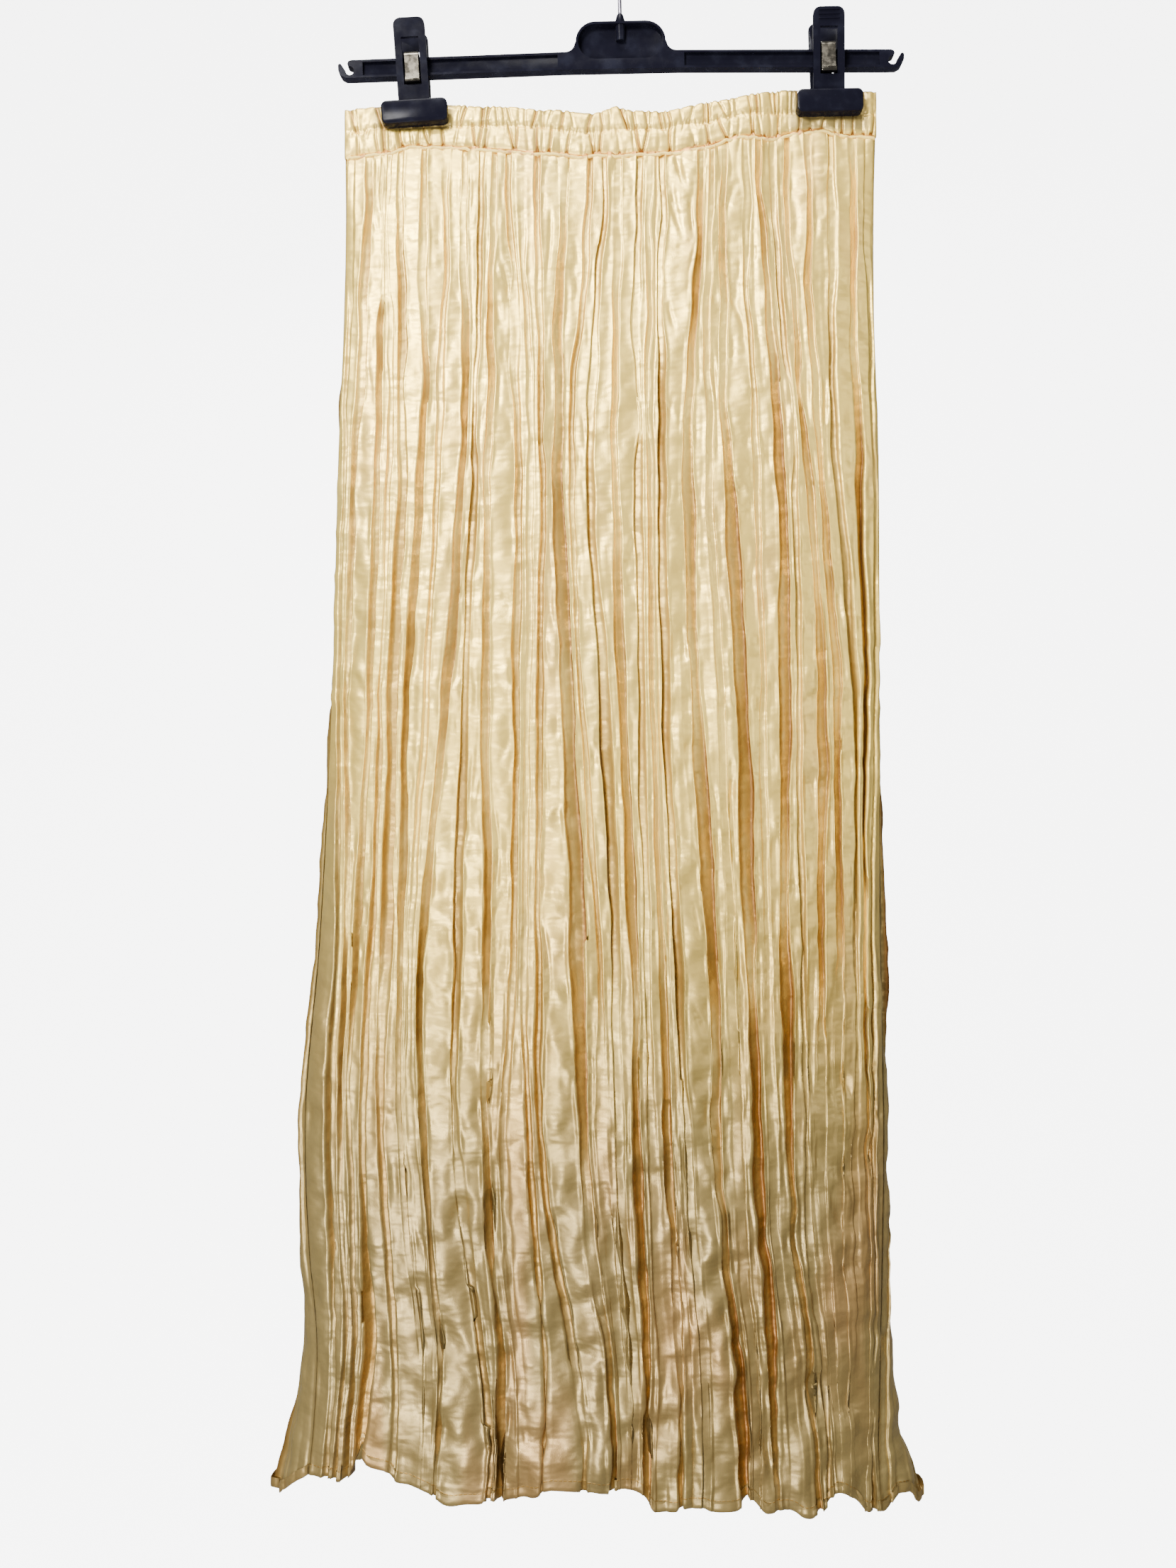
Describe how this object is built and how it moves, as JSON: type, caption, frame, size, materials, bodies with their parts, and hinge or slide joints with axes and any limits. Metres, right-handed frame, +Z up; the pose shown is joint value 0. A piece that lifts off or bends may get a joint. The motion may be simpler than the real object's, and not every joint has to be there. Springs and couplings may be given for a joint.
{
  "type": "pleated satin maxi skirt on a clip hanger",
  "caption": "Long pleated satin skirt with a gathered elastic waistband, hung flat from a bar hanger with two sprung clips and a wire hook",
  "frame": {"origin": "the inside of the hook's crown, where a rail carries the hanger", "axes": "+Z up, -Y is the skirt's front, +X is to the right of someone who faces the front"},
  "size_m": [0.4036, 0.1071, 0.9762],
  "materials": {
    "satin": "satin, cream",
    "plastic": "glossy black",
    "wire": "plated",
    "spring": "bright"
  },
  "bodies": {
    "root": {"skirt_front_left": "satin", "skirt_front_right": "satin", "skirt_back": "satin", "waistband_front": "satin", "waistband_back": "satin", "hanger_bar": "plastic", "hanger_hook": "wire", "clip_left_front": "plastic", "clip_left_back": "plastic", "clip_left_spring": "spring", "clip_right_front": "plastic", "clip_right_back": "plastic", "clip_right_spring": "spring"}
  },
  "joints": []
}
